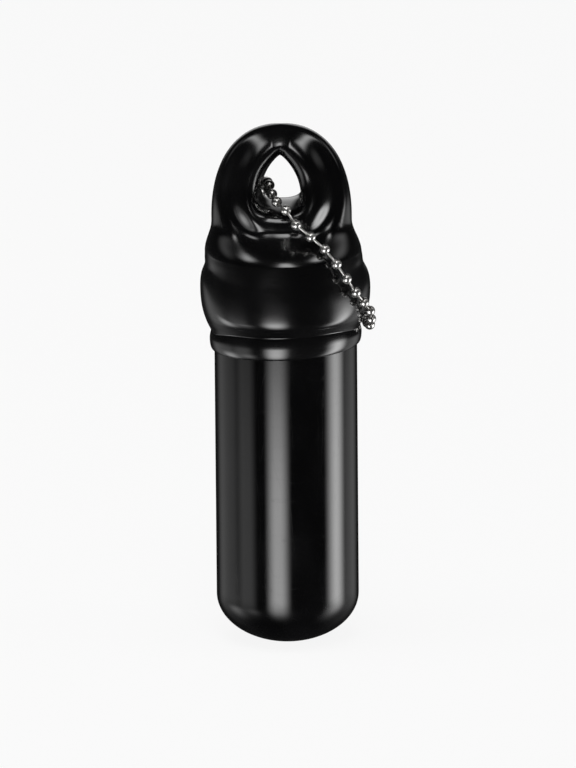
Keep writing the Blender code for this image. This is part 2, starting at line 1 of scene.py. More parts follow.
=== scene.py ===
"""Looks of the floating key capsule: smooth meshes and worn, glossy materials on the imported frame.

Metres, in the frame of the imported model: +Z up, the front towards -Y, the foot at the origin.
"""

import json
import math

import bmesh
import bpy
from mathutils import Matrix, Vector


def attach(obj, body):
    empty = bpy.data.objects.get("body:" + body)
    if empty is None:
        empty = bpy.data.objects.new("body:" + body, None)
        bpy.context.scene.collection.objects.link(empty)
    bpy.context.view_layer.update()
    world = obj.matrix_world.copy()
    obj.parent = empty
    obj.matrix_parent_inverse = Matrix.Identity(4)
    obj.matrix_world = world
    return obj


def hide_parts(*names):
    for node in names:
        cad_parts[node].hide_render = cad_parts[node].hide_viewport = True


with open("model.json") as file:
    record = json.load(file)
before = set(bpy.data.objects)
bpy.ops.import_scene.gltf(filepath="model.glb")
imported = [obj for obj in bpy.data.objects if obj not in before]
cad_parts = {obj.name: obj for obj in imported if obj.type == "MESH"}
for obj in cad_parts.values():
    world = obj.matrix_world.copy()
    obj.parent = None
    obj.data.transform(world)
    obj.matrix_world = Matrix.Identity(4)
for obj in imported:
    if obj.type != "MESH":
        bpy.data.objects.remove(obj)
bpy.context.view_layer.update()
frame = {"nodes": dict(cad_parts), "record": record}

# Tube
TUBE_RADIUS = 0.0160
TUBE_WALL = 0.0016
TUBE_HEIGHT = 0.0855
TUBE_FLOOR = 0.0022
DOME_HEIGHT = 0.01042
FOOT_RADIUS = 0.0045
RIM_ROUNDING = 0.0005

# Cap: heights over the hem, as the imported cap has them
SOCKET_RADIUS = 0.0163
SOCKET_DEPTH = 0.0178
SEAT_WIDTH = 0.0028
CHAMBER_HEIGHT = 0.0045
HEM_LEVEL = 0.0680
HEM_ROUNDING = 0.0020
HEM_EDGE = 0.0002
HEM_SLANT = 0.0007
BULGE_HEIGHT = 0.0126
SHOULDER_HEIGHT = 0.0214
FLANK_HEIGHT = 0.0284
ARCH_SPRING_HEIGHT = 0.0295
HOLE_HEIGHT = 0.0329
CROWN_HEIGHT = 0.0505
COLLAR_WALL = 0.00074
SHOULDER_WALL = 0.00125
COLLAR_RADIUS = SOCKET_RADIUS + COLLAR_WALL
SHOULDER_RADIUS = SOCKET_RADIUS + SHOULDER_WALL
ARCH_STEP = 0.00183
ARCH_RADIUS = SHOULDER_RADIUS - ARCH_STEP
LOOP_OFFSET = 0.0007
LOOP_HALF_DEPTH = 0.0098

# Loop: the powers of its outline and section (a circle's is 2), and how its depth falls off. The
# back rounds over between two shares of the rise, and the front face leans back.
CIRCLE_POWER = 2
ARCH_POWER = 2.2
CROWN_ARCH_POWER = 2.7
DEPTH_POWER = 0.5
DEPTH_RISE = 1.25
CROWN_ROUNDING = 0.9
CROWN_START = 0.35
CROWN_FULL = 0.75
FACE_LEAN = 0.22
FACE_RISE = 3.4
FRONT_TILT = 0.28
TILT_SPREAD = 0.0022
EDGE_DEPTH = 0.0035

# Hole: its teardrop, its shear on the front and the thin web along its edge
HOLE_LENGTH = 0.0107
HOLE_HALF_WIDTH = 0.00438
HOLE_WIDEST = 0.24
HOLE_BELLY_POWER = 2.5
HOLE_TIP_POWER = 1.85
HOLE_TIP_ROUNDING = 0.82
HOLE_SHEAR = 0.10
SHEAR_SPREAD = 0.0032
WEB_DISTANCE = 0.0010
FLOOR_WEB_DISTANCE = 0.0022
FLOOR_WEB_TOP = 0.0375

# Ring round the hole, thin along its lip and waisted on the front, and past the hole's tip the
# length over which its two rolls run on
RING_DISTANCE = 0.0034
RING_SPREAD = 0.0026
RING_SIDE_SWELL = 0.0015
RING_SIDE_ACROSS = 0.0070
RING_LIP_SWELL = 0.0005
RING_LIP_ACROSS = 0.0022
RING_WAIST_HEIGHT = 0.0372
RING_WAIST_SPREAD = 0.0042
RING_WAIST_SHARE = 0.65
LIP_BELOW_HOLE = 0.001
LIP_OVER_HOLE = 0.003
LIP_TOP_HEIGHT = 0.0425
TIP_RUN = 0.0100

# Valleys and legs on the loop's sides, and the pinch and notch in its middle over the hole
VALLEY_DISTANCE = 0.0072
VALLEY_SPREAD = 0.0019
VALLEY_DEPTH = 0.0009
VALLEY_START_ACROSS = 0.0040
VALLEY_FULL_ACROSS = 0.0100
LEG_DISTANCE = 0.0098
LEG_SPREAD = 0.0016
LEG_SWELL = 0.0006
PINCH_DEPTH = 0.0005
PINCH_WIDTH = 0.0009
PINCH_START_HEIGHT = 0.0430
PINCH_FULL_HEIGHT = 0.0455
NOTCH_DEPTH = 0.0007
NOTCH_WIDTH = 0.0011
NOTCH_START_HEIGHT = 0.0462
NOTCH_FULL_HEIGHT = 0.0480

# Rolls of the cap's skirt, from the shoulder down, in millimetres: (height over the hem, radius)
# at the sides and then at the front and the back, where the soft vinyl sags into folds. Two equal
# stations make a crease.
SKIRT_STATIONS = (
    (21.4, 17.55, 21.4, 17.55),
    (20.2, 17.66, 20.1, 17.74),
    (19.1, 17.70, 18.4, 17.96),
    (18.4, 17.84, 16.9, 18.14),
    (17.6, 18.20, 15.5, 18.33),
    (16.5, 18.66, 13.4, 18.58),
    (14.9, 18.98, 10.8, 18.79),
    (12.9, 19.06, 8.8, 18.87),
    (10.5, 18.93, 8.0, 18.77),
    (8.2, 18.50, 7.3, 18.45),
    (6.2, 17.80, 6.7, 17.88),
    (4.7, 17.05, 5.8, 17.17),
    (3.95, 16.68, 5.15, 16.73),
    (3.95, 16.68, 5.15, 16.73),
    (3.3, 16.86, 4.4, 16.88),
    (2.7, 17.00, 3.5, 17.00),
    (2.3, 17.04, 2.7, 17.05),
    (2.0, 17.04, 2.0, 17.04),
)
SAG_START = 0.20
SAG_FULL = 0.85

# Chain
BEAD_COUNT = 29
FRONT_BEADS = 15
BEAD_RADIUS = 0.00119
BEAD_WALL = 0.00018
BEAD_HOLE_RADIUS = 0.00055
CHAIN_PITCH = 0.0042
CHAIN_CLEARANCE = 0.0003
LINK_RADIUS = 0.0003
HEAD_RADIUS = 0.00062
HEAD_THICKNESS = 0.00024
HEAD_DISTANCE = 0.00038
HEAD_FLARE_PARTS = 3
CONNECTOR_SPACING = 0.0040
CONNECTOR_BORE = 0.0015
CONNECTOR_WALL = 0.00025
CONNECTOR_END_RADIUS = 0.00095
CONNECTOR_SLOT = 0.0010
CONNECTOR_WINDOW = 0.0027

# Ribs of the loop's skin: how they leave the hole's rim, and how they crowd
LIP_RIM = 0.25
RIM_PROBE = 0.004
RIB_REACH = 1.5
RIB_CROWDING = 0.9
ARCH_SPACING = 1.3
TIP_PROBE_STEPS = 8

# Mesh fineness
TUBE_SIDES = 144
DOME_STEPS = 28
FOOT_RIBS = 33
ARCH_RIBS = 78
RIB_RINGS = 44
STATION_RINGS = 4
ROUND_STEPS = 8
TIP_STEPS = 24
BEAD_SIDES = 28
BEAD_STEPS = 14
LINK_SIDES = 14
CONNECTOR_SIDES = 34
WINDOW_STEPS = 10
OUTLINE_STEPS = 240
SIDE_RIBS = FOOT_RIBS + ARCH_RIBS // 2
MERGE_DISTANCE = 0.000002
SHARP_ANGLE = 40
CAP_SHARP_ANGLE = 50
QUARTER_TURN = math.radians(90)

# Camera
AIM_POINT = Vector((0.00043, 0, 0.05856))
CAMERA_DISTANCE = 3.0
CAMERA_ELEVATION = 14
CAMERA_ROLL = -0.47
CAMERA_LENS = 417.8
SENSOR_HEIGHT = 24
CLIP_START = 0.01

# Colours, each from its clean shade to its hazy or worn one
PLASTIC_COLOURS = ((0.0012, 0.0012, 0.0014, 1), (0.0028, 0.0028, 0.0031, 1))
VINYL_COLOURS = ((0.001, 0.001, 0.0012, 1), (0.0024, 0.0024, 0.0027, 1))
NICKEL_COLOURS = ((0.93, 0.92, 0.90, 1), (0.74, 0.73, 0.70, 1))
STEEL_COLOURS = ((0.76, 0.75, 0.73, 1), (0.58, 0.57, 0.55, 1))
WHITE = (1, 1, 1, 1)

# Roughness, and what scratches and bloom add to it
PLASTIC_ROUGHNESS = (0.085, 0.15)
PLASTIC_SCRATCH_ROUGHNESS = 0.10
VINYL_ROUGHNESS = (0.16, 0.25)
NICKEL_ROUGHNESS = 0.23
STEEL_ROUGHNESS = 0.28
METAL_BLOOM_ROUGHNESS = 0.12
METAL_SCRATCH_ROUGHNESS = 0.12

# Gloss of the plastic and the vinyl
GLOSS_IOR = 1.5
PLASTIC_SHINE = 0.5
PLASTIC_COAT = 0.5
PLASTIC_COAT_ROUGHNESS = 0.06
VINYL_COAT = 0.9
VINYL_COAT_ROUGHNESS = 0.14

# Foot of the tube: satin up to the low height and polished from the top one
SATIN_LOW = 0.0072
SATIN_TOP = 0.0125
SATIN_ROUGHNESS = 0.14
SATIN_SHINE = 0.12

# Scales of the noise, in features a metre
HAZE_SCALE = 110
LONG_SCRATCH_SCALE = 420
CROSS_SCRATCH_SCALE = 260
RIPPLE_SCALE = 90
WAVE_SCALE = 140
PORE_SCALE = 3200
RUB_SCALE = 70
BLOOM_SCALE = 900
METAL_SCRATCH_SCALE = 2600

# Heights of the bumps
RIPPLE_HEIGHT = 0.00002
SCRATCH_HEIGHT = 0.000004
WAVE_HEIGHT = 0.00006
PORE_HEIGHT = 0.000004
METAL_SCRATCH_HEIGHT = 0.000003

# Sockets of the Mix node for colours
MIX_FIRST = 6
MIX_SECOND = 7
MIX_RESULT = 2

# Studio: soft boxes round the object, as (azimuth from the front over +X, half width, side
# softness, lowest elevation, its softness, highest elevation, its softness, brightness)
BOXES = (
    (-15, 13, 10, -46, 22, -11, 4, 4.8),
    (86, 12, 12, -42, 18, -8, 6, 5.0),
    (-69, 13, 8, -44, 18, -10, 4, 0.55),
    (-112, 26, 14, -44, 18, -10, 4, 0.36),
    (122, 20, 14, -44, 18, -10, 4, 0.38),
    (180, 14, 8, -4, 4, 40, 10, 0.6),
    (-62, 10, 10, -36, 10, -24, 6, 0.9),
    (-98, 12, 12, -42, 10, -22, 6, 2.0),
    (6, 13, 8, 40, 6, 72, 6, 4.4),
    (-76, 10, 8, 52, 7, 64, 6, 4.0),
    (76, 10, 8, 52, 7, 64, 6, 4.4),
    (-104, 12, 10, 28, 8, 44, 8, 0.4),
    (104, 12, 14, 26, 12, 40, 12, 0.9),
)
STUDIO_DARK = 0.012
FLOOR_SIZE = 6.0
FLOOR_COLOUR = (0.85, 0.85, 0.85, 1)
FLOOR_GLOW = 0.9
LAMP_PLACE = Vector((-0.15, -0.2, 1.3))
LAMP_SIZE = 0.9
LAMP_ENERGY = 7


def smooth_step(low, high, value):
    """0 below low, 1 above high, and a smooth rise between."""
    share = min(max((value - low) / (high - low), 0), 1)
    return share * share * (3 - 2 * share)


def bell(distance, spread):
    """1 at no distance, and a smooth fall to 0 on both sides."""
    return math.exp(-((distance / spread) ** 2))


def finish_mesh(bm, name, material, sharp_angle=SHARP_ANGLE):
    """Close the seams of a bmesh, turn its faces outwards and shade it smooth."""
    bmesh.ops.remove_doubles(bm, verts=bm.verts, dist=MERGE_DISTANCE)
    bmesh.ops.recalc_face_normals(bm, faces=bm.faces)
    mesh = bpy.data.meshes.new(name)
    bm.to_mesh(mesh)
    bm.free()
    mesh.materials.append(material)
    mesh.shade_smooth()
    mesh.set_sharp_from_angle(angle=math.radians(sharp_angle))
    return mesh


def turned_mesh(name, profile, sides, material, closed=False):
    """Turn a profile of (radius, height) points round Z. An open one ends on the axis."""
    bm = bmesh.new()
    points = [bm.verts.new((radius, 0, height)) for radius, height in profile]
    pairs = list(zip(points, points[1:]))
    if closed:
        pairs.append((points[-1], points[0]))
    edges = [bm.edges.new(pair) for pair in pairs]
    bmesh.ops.spin(
        bm, geom=points + edges, cent=(0, 0, 0), axis=(0, 0, 1), angle=math.tau, steps=sides
    )
    return finish_mesh(bm, name, material)


def new_object(name, data):
    """An object in the scene's own collection."""
    thing = bpy.data.objects.new(name, data)
    bpy.context.scene.collection.objects.link(thing)
    return thing


# Tube


def dome_points(radius, rise, foot):
    """An elliptical dome from its foot out to the tube's wall, below the tangent level."""
    start = math.acos(foot / radius)
    angles = [start * (1 - step / DOME_STEPS) for step in range(DOME_STEPS + 1)]
    return [
        (radius * math.cos(angle), DOME_HEIGHT - rise * math.sin(angle)) for angle in angles
    ]


def tube_profile():
    """(radius, height) up the tube's outside from the foot, over its rim and down its bore."""
    rise = DOME_HEIGHT / math.sqrt(1 - (FOOT_RADIUS / TUBE_RADIUS) ** 2)
    bore = TUBE_RADIUS - TUBE_WALL
    top = TUBE_HEIGHT - RIM_ROUNDING
    outside = [(0, 0)] + dome_points(TUBE_RADIUS, rise, FOOT_RADIUS)
    inside = dome_points(bore, rise - TUBE_FLOOR, 0)
    turns = [QUARTER_TURN * step / ROUND_STEPS for step in range(ROUND_STEPS + 1)]
    arc = [(RIM_ROUNDING * math.cos(turn), RIM_ROUNDING * math.sin(turn)) for turn in turns]
    rim = [(TUBE_RADIUS - RIM_ROUNDING + out, top + up) for out, up in arc]
    rim += [(bore + RIM_ROUNDING - out, top + up) for up, out in arc]
    return outside + rim + inside[::-1]


# Loop cap: its outside as a skin of ribs, from the hole's rim out to the arch and the shoulder


def skirt_point(place, angle):
    """(radius, height) on the skirt's outside, at a place along its stations and an azimuth, on
    a smooth curve through the stations."""
    sag = smooth_step(SAG_START, SAG_FULL, abs(math.cos(angle)))
    last = len(SKIRT_STATIONS) - 1
    index = min(int(place), last - 1)
    part = place - index
    stations = [SKIRT_STATIONS[min(max(index + step, 0), last)] for step in (-1, 0, 1, 2)]
    weights = (
        (-(part**3) + 2 * part**2 - part) / 2,
        (3 * part**3 - 5 * part**2 + 2) / 2,
        (-3 * part**3 + 4 * part**2 + part) / 2,
        (part**3 - part**2) / 2,
    )
    side_height, side_radius, front_height, front_radius = (
        sum(weight * value for weight, value in zip(weights, values)) / 1000
        for values in zip(*stations)
    )
    radius = side_radius + (front_radius - side_radius) * sag
    return radius, side_height + (front_height - side_height) * sag


def half_width(height):
    """Half the loop's width across X, from the shoulder up to the crown."""
    if height < ARCH_SPRING_HEIGHT:
        return SHOULDER_RADIUS - ARCH_STEP * smooth_step(SHOULDER_HEIGHT, FLANK_HEIGHT, height)
    rise = min((height - ARCH_SPRING_HEIGHT) / (CROWN_HEIGHT - ARCH_SPRING_HEIGHT), 1)
    return ARCH_RADIUS * (1 - rise**ARCH_POWER) ** (1 / ARCH_POWER)


def half_depth(height, front):
    """Half the loop's depth along Y in its middle, from the shoulder up to the crown. The front
    face leans back."""
    rise = min(max((height - FLANK_HEIGHT) / (CROWN_HEIGHT - FLANK_HEIGHT), 0), 1)
    power = DEPTH_RISE + CROWN_ROUNDING * smooth_step(CROWN_START, CROWN_FULL, rise)
    loop = LOOP_HALF_DEPTH * (1 - rise**power) ** DEPTH_POWER
    if front:
        face = LOOP_HALF_DEPTH - FACE_LEAN * max(height - FLANK_HEIGHT, 0)
        loop = face * (1 - rise**FACE_RISE) ** DEPTH_POWER
    drop = smooth_step(SHOULDER_HEIGHT, FLANK_HEIGHT, height)
    over = height - SHOULDER_HEIGHT
    tilt = FRONT_TILT * over * bell(over, TILT_SPREAD)
    return SHOULDER_RADIUS + (loop - SHOULDER_RADIUS) * drop - tilt


def body_depth(across, height, front):
    """Depth of the plain form, without the hole, the ring, the valleys and the pinch."""
    width = half_width(height)
    share = min(across / width, 1) if width > MERGE_DISTANCE else 1
    loop = smooth_step(SHOULDER_HEIGHT, FLANK_HEIGHT, height)
    crown = smooth_step(ARCH_SPRING_HEIGHT, LIP_TOP_HEIGHT, height)
    power = CIRCLE_POWER + (ARCH_POWER - CIRCLE_POWER) * loop
    power += (CROWN_ARCH_POWER - ARCH_POWER) * crown
    return half_depth(height, front) * (1 - share**power) ** (1 / power)


def hole_half_width(share):
    """Half the teardrop hole's width, at a share of its length above its floor."""
    if share < HOLE_WIDEST:
        fall = 1 - share / HOLE_WIDEST
        return HOLE_HALF_WIDTH * (1 - fall**HOLE_BELLY_POWER) ** (1 / HOLE_BELLY_POWER)
    rise = (share - HOLE_WIDEST) / (1 - HOLE_WIDEST)
    tip = max(1 - rise**HOLE_TIP_POWER, 0)
    return HOLE_HALF_WIDTH * tip**HOLE_TIP_ROUNDING


def hole_outline():
    """The right half of the hole's rim, as (across, height) from its floor to its tip."""
    points = []
    for step in range(OUTLINE_STEPS + 1):
        share = (1 - math.cos(math.pi * step / OUTLINE_STEPS)) / 2
        points.append((hole_half_width(share), HOLE_HEIGHT + HOLE_LENGTH * share))
    return points


def arch_outline():
    """The right half of the loop's outline, from the shoulder to the crown."""
    points = []
    for step in range(OUTLINE_STEPS + 1):
        rise = math.sin(QUARTER_TURN * step / OUTLINE_STEPS)
        height = SHOULDER_HEIGHT + (CROWN_HEIGHT - SHOULDER_HEIGHT) * rise
        points.append((half_width(height), height))
    return points


def point_along(points, share):
    """The point at a share of a polyline's length."""
    steps = [math.dist(a, b) for a, b in zip(points, points[1:])]
    left = share * sum(steps)
    for start, end, step in zip(points, points[1:], steps):
        if left <= step:
            part = left / step if step else 0
            return tuple(a + (b - a) * part for a, b in zip(start, end))
        left -= step
    return points[-1]


HOLE_OUTLINE = hole_outline()
ARCH_OUTLINE = arch_outline()


def rim_point(share):
    """A point of the hole's rim, from its floor (0) up the right side to its tip (1)."""
    if share < 0 or share > 1:
        across, height = point_along(HOLE_OUTLINE, -share if share < 0 else 2 - share)
        return -across, height
    return point_along(HOLE_OUTLINE, share)


def rim_outward(share):
    """The direction straight out from the hole's rim, across the front."""
    before = rim_point(share - RIM_PROBE)
    after = rim_point(share + RIM_PROBE)
    length = math.dist(before, after)
    return (after[1] - before[1]) / length, (before[0] - after[0]) / length


def rib_line(rib):
    """The three points that bend a rib of the right half. It leaves the hole's rim square and
    ends on the shoulder, or on the loop's outline past the foot ribs."""
    if rib <= FOOT_RIBS:
        turn = rib / FOOT_RIBS
        angle = QUARTER_TURN * turn
        share = 2 * LIP_RIM * turn
        end = (SHOULDER_RADIUS * math.sin(angle), SHOULDER_HEIGHT)
    else:
        turn = (rib - FOOT_RIBS) / (SIDE_RIBS - FOOT_RIBS)
        share = 2 * LIP_RIM + (1 - 2 * LIP_RIM) * turn
        height = point_along(ARCH_OUTLINE, turn**ARCH_SPACING)[1]
        end = (half_width(height), height)
    start = rim_point(share)
    reach = RING_DISTANCE * RIB_REACH
    bend = tuple(value + reach * step for value, step in zip(start, rim_outward(share)))
    return start, bend, end


def rib_place(line, way):
    """(across, height) a share of the way along a rib's line."""
    weights = ((1 - way) ** 2, 2 * way * (1 - way), way**2)
    return tuple(sum(w * p for w, p in zip(weights, trio)) for trio in zip(*line))


def rim_distance(across, height):
    """How far a point of the front lies from the hole's rim."""
    return min(math.dist(point, (across, height)) for point in HOLE_OUTLINE)


def roll_line():
    """The hole's right side, run on straight past the tip, where the two rolls meet in a V."""
    (before, low), (across, high) = HOLE_OUTLINE[-TIP_PROBE_STEPS], HOLE_OUTLINE[-1]
    length = math.dist((before, low), (across, high))
    step = ((across - before) / length, (high - low) / length)
    run = [TIP_RUN * part / TIP_STEPS for part in range(1, TIP_STEPS + 1)]
    return HOLE_OUTLINE + [(across + step[0] * far, high + step[1] * far) for far in run]


ROLL_LINE = roll_line()


def roll_distance(across, height):
    """How far a point of the right half lies from the line that its roll follows."""
    return min(math.dist(point, (across, height)) for point in ROLL_LINE)


def ring_swell(across, height, front):
    """How far the ring round the hole stands out, less at its lip and at the front's waist."""
    lip = 1 - smooth_step(HOLE_HEIGHT - LIP_BELOW_HOLE, HOLE_HEIGHT + LIP_OVER_HOLE, height)
    lip *= 1 - smooth_step(RING_LIP_ACROSS, RING_SIDE_ACROSS, across)
    swell = RING_SIDE_SWELL + (RING_LIP_SWELL - RING_SIDE_SWELL) * lip
    if front:
        swell *= 1 - RING_WAIST_SHARE * bell(height - RING_WAIST_HEIGHT, RING_WAIST_SPREAD)
    return swell


def side_share(across, height):
    """1 on the loop's sides, where the valleys and legs run, and 0 in its middle and past them."""
    side = smooth_step(VALLEY_START_ACROSS, VALLEY_FULL_ACROSS, across)
    side *= smooth_step(SHOULDER_HEIGHT, ARCH_SPRING_HEIGHT, height)
    side *= 1 - smooth_step(LIP_TOP_HEIGHT, CROWN_HEIGHT, height)
    return side


def web_share(rim_gap, height):
    """0 on the hole's rim, rounding up to 1 where the web along it ends."""
    floor = 1 - smooth_step(HOLE_HEIGHT, FLOOR_WEB_TOP, height)
    reach = WEB_DISTANCE + (FLOOR_WEB_DISTANCE - WEB_DISTANCE) * floor
    web = 1 - min(rim_gap / reach, 1)
    return math.sqrt(1 - web**2)


def skin_depth(across, height, rim_gap, front):
    """The skin's depth, with its rolls, valleys and pinch, at a distance from the hole's rim."""
    gone = roll_distance(across, height)
    body = body_depth(across, height, front)
    fade = smooth_step(0, EDGE_DEPTH, body)
    side = side_share(across, height)
    pinch = smooth_step(PINCH_START_HEIGHT, PINCH_FULL_HEIGHT, height)
    notch = smooth_step(NOTCH_START_HEIGHT, NOTCH_FULL_HEIGHT, height)
    swell = ring_swell(across, height, front)
    depth = body + fade * swell * bell(gone - RING_DISTANCE, RING_SPREAD)
    depth -= fade * side * VALLEY_DEPTH * bell(gone - VALLEY_DISTANCE, VALLEY_SPREAD)
    depth += fade * side * LEG_SWELL * bell(gone - LEG_DISTANCE, LEG_SPREAD)
    depth -= fade * pinch * PINCH_DEPTH * bell(across, PINCH_WIDTH)
    depth -= fade * notch * NOTCH_DEPTH * bell(across, NOTCH_WIDTH)
    inward = RING_DISTANCE - min(gone, RING_DISTANCE)
    depth -= RING_DISTANCE - math.sqrt(RING_DISTANCE**2 - inward**2)
    return depth * web_share(rim_gap, height)


def cap_place(across, depth, height):
    """A point of the cap's skin in the part's frame, with the loop's lean and the hem's slant."""
    lean = LOOP_OFFSET * smooth_step(BULGE_HEIGHT, FLANK_HEIGHT, height)
    slant = HEM_SLANT * across / COLLAR_RADIUS * (1 - smooth_step(0, BULGE_HEIGHT, height))
    return Vector((across - lean, -depth, HEM_LEVEL + height + slant))


def skin_rows(front):
    """The right half's points as rows of (across, depth, height, distance from the hole's rim)
    round the hole, going out."""
    lines = [rib_line(rib) for rib in range(SIDE_RIBS + 1)]
    rows = []
    for step in range(RIB_RINGS + 1):
        share = step / RIB_RINGS
        way = share - RIB_CROWDING * math.sin(math.tau * share) / math.tau
        row = []
        for line in lines:
            across, height = rib_place(line, way)
            gap = rim_distance(across, height) if step else 0
            row.append((across, skin_depth(across, height, gap, front), height, gap))
        rows.append(row)
    return rows


def sheet_rings(rows, side):
    """The rings of points round the hole on the front (side 1) or the back (side -1)."""
    rings = []
    shear = HOLE_SHEAR if side > 0 else 0
    for row in rows:
        left = [(-across, *rest) for across, *rest in row[-2:0:-1]]
        ring = []
        for across, depth, height, gap in row + left:
            shift = shear * depth * bell(gap, SHEAR_SPREAD)
            ring.append(cap_place(across - shift, side * depth, height))
        rings.append(ring)
    return rings


def skirt_ring(place_at):
    """A full ring round the tube's axis, in step with the ribs' feet."""
    ring = []
    for step in range(4 * FOOT_RIBS):
        angle = QUARTER_TURN * step / FOOT_RIBS
        radius, height = place_at(angle)
        ring.append(cap_place(radius * math.sin(angle), radius * math.cos(angle), height))
    return ring


def outside_rings():
    """The skirt's rings down its folds, from the shoulder to the top of the hem. Two equal
    stations make a crease, with no rings between them."""
    last = len(SKIRT_STATIONS) - 1
    places = []
    for index in range(last):
        if SKIRT_STATIONS[index] != SKIRT_STATIONS[index + 1]:
            places += [index + step / STATION_RINGS for step in range(STATION_RINGS)]
    places.append(last)
    return [skirt_ring(lambda angle, place=place: skirt_point(place, angle)) for place in places]


def inside_levels():
    """(radius, height) round the hem, up the socket and its seat, and up the hollow above."""
    edge = SOCKET_RADIUS + HEM_EDGE
    levels = []
    for step in range(1, ROUND_STEPS + 1):
        angle = QUARTER_TURN * step / ROUND_STEPS
        out = (COLLAR_RADIUS - edge) * (1 - math.cos(angle))
        levels.append((COLLAR_RADIUS - out, HEM_ROUNDING * (1 - math.sin(angle))))
    chamber = SOCKET_RADIUS - SEAT_WIDTH
    levels += [(SOCKET_RADIUS, 0), (SOCKET_RADIUS, SOCKET_DEPTH), (chamber, SOCKET_DEPTH)]
    for step in range(1, ROUND_STEPS + 1):
        angle = QUARTER_TURN * step / ROUND_STEPS
        levels.append((chamber * math.cos(angle), SOCKET_DEPTH + CHAMBER_HEIGHT * math.sin(angle)))
    return levels


def bridge(bm, rings):
    """Skin a list of equal closed rings, one to the next."""
    loops = [[bm.verts.new(point) for point in ring] for ring in rings]
    for inner, outer in zip(loops, loops[1:]):
        count = len(inner)
        for step in range(count):
            after = (step + 1) % count
            bm.faces.new((inner[step], inner[after], outer[after], outer[step]))


def cap_mesh(material):
    """The cap as one closed skin: its two faces round the hole, its skirt and its inside."""
    bm = bmesh.new()
    bridge(bm, sheet_rings(skin_rows(True), 1))
    bridge(bm, sheet_rings(skin_rows(False), -1))
    inside = [skirt_ring(lambda angle, level=level: level) for level in inside_levels()]
    bridge(bm, outside_rings() + inside)
    bmesh.ops.remove_doubles(bm, verts=bm.verts, dist=MERGE_DISTANCE)
    bmesh.ops.dissolve_degenerate(bm, edges=bm.edges, dist=MERGE_DISTANCE)
    return finish_mesh(bm, "cap_skin", material, CAP_SHARP_ANGLE)


# Chain


def node_middle(name):
    """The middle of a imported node's vertices."""
    vertices = frame["nodes"][name].data.vertices
    return sum((vertex.co for vertex in vertices), Vector()) / len(vertices)


def bead_mesh(material):
    """A hollow bead along Z, open at both ends, with its rims turned a little inwards."""
    inner = BEAD_RADIUS - BEAD_WALL
    profile = []
    for radius, steps, way in ((BEAD_RADIUS, BEAD_STEPS, 1), (inner, BEAD_STEPS, -1)):
        start = math.asin(BEAD_HOLE_RADIUS / radius)
        angles = [start + (math.pi - 2 * start) * step / steps for step in range(steps + 1)]
        points = [(radius * math.sin(angle), radius * math.cos(angle)) for angle in angles]
        profile += points[::way]
    return turned_mesh("bead", profile, BEAD_SIDES, material, closed=True)


def link_mesh(name, material, far_head=True):
    """A link along Z, from its head in one bead to its head in the next, one pitch on. Without
    its far head it stops a clearance short of the next bead."""
    start = HEAD_DISTANCE - HEAD_THICKNESS / 2
    neck = HEAD_DISTANCE + HEAD_THICKNESS / 2
    flare = LINK_RADIUS + (HEAD_RADIUS - LINK_RADIUS) / HEAD_FLARE_PARTS
    profile = [(0, start), (HEAD_RADIUS, start), (HEAD_RADIUS, neck), (flare, neck)]
    profile.append((LINK_RADIUS, neck + HEAD_THICKNESS))
    if far_head:
        profile += [(radius, CHAIN_PITCH - height) for radius, height in profile[::-1]]
    else:
        end = CHAIN_PITCH - BEAD_RADIUS - CHAIN_CLEARANCE
        profile += [(LINK_RADIUS, end), (0, end)]
    return turned_mesh(name, profile, LINK_SIDES, material)


def connector_rings():
    """(height, turn over the end's rounding) along the connector, from end to end."""
    end = math.acos(CONNECTOR_END_RADIUS / CONNECTOR_BORE)
    half = CONNECTOR_SPACING / 2
    window = CONNECTOR_WINDOW / 2
    edge = math.sqrt(window**2 - (CONNECTOR_SLOT / 2) ** 2)
    turns = [QUARTER_TURN * step / WINDOW_STEPS for step in range(WINDOW_STEPS + 1)]
    rings = [(edge * math.sin(turn), 0) for turn in turns]
    rings.append((half, 0))
    rings += [(half, end * step / ROUND_STEPS) for step in range(1, ROUND_STEPS + 1)]
    return [(-height, -turn) for height, turn in rings[:0:-1]] + rings


def connector_mesh(material):
    """A sleeve along Z with a slot towards +X, which widens to a round window half way."""
    bm = bmesh.new()
    grid = []
    for middle, turn in connector_rings():
        window = math.sqrt(max((CONNECTOR_WINDOW / 2) ** 2 - middle**2, 0)) if turn == 0 else 0
        opening = max(CONNECTOR_SLOT / 2, window)
        row = []
        for radius in (CONNECTOR_BORE, CONNECTOR_BORE + CONNECTOR_WALL):
            around = radius * math.cos(turn)
            height = middle + radius * math.sin(turn)
            start = math.asin(opening / (CONNECTOR_BORE * math.cos(turn)))
            for step in range(CONNECTOR_SIDES + 1):
                angle = start + (math.tau - 2 * start) * step / CONNECTOR_SIDES
                place = (around * math.cos(angle), around * math.sin(angle), height)
                row.append(bm.verts.new(place))
        count = CONNECTOR_SIDES + 1
        grid.append(row[:count] + row[:count - 1:-1])
    for lower, upper in zip(grid, grid[1:]):
        for step in range(len(lower)):
            after = (step + 1) % len(lower)
            bm.faces.new((lower[step], lower[after], upper[after], upper[step]))
    for row in (grid[0], grid[-1]):
        for step in range(CONNECTOR_SIDES):
            bm.faces.new((row[step], row[step + 1], row[-2 - step], row[-1 - step]))
    return finish_mesh(bm, "connector_sleeve", material)


# Materials


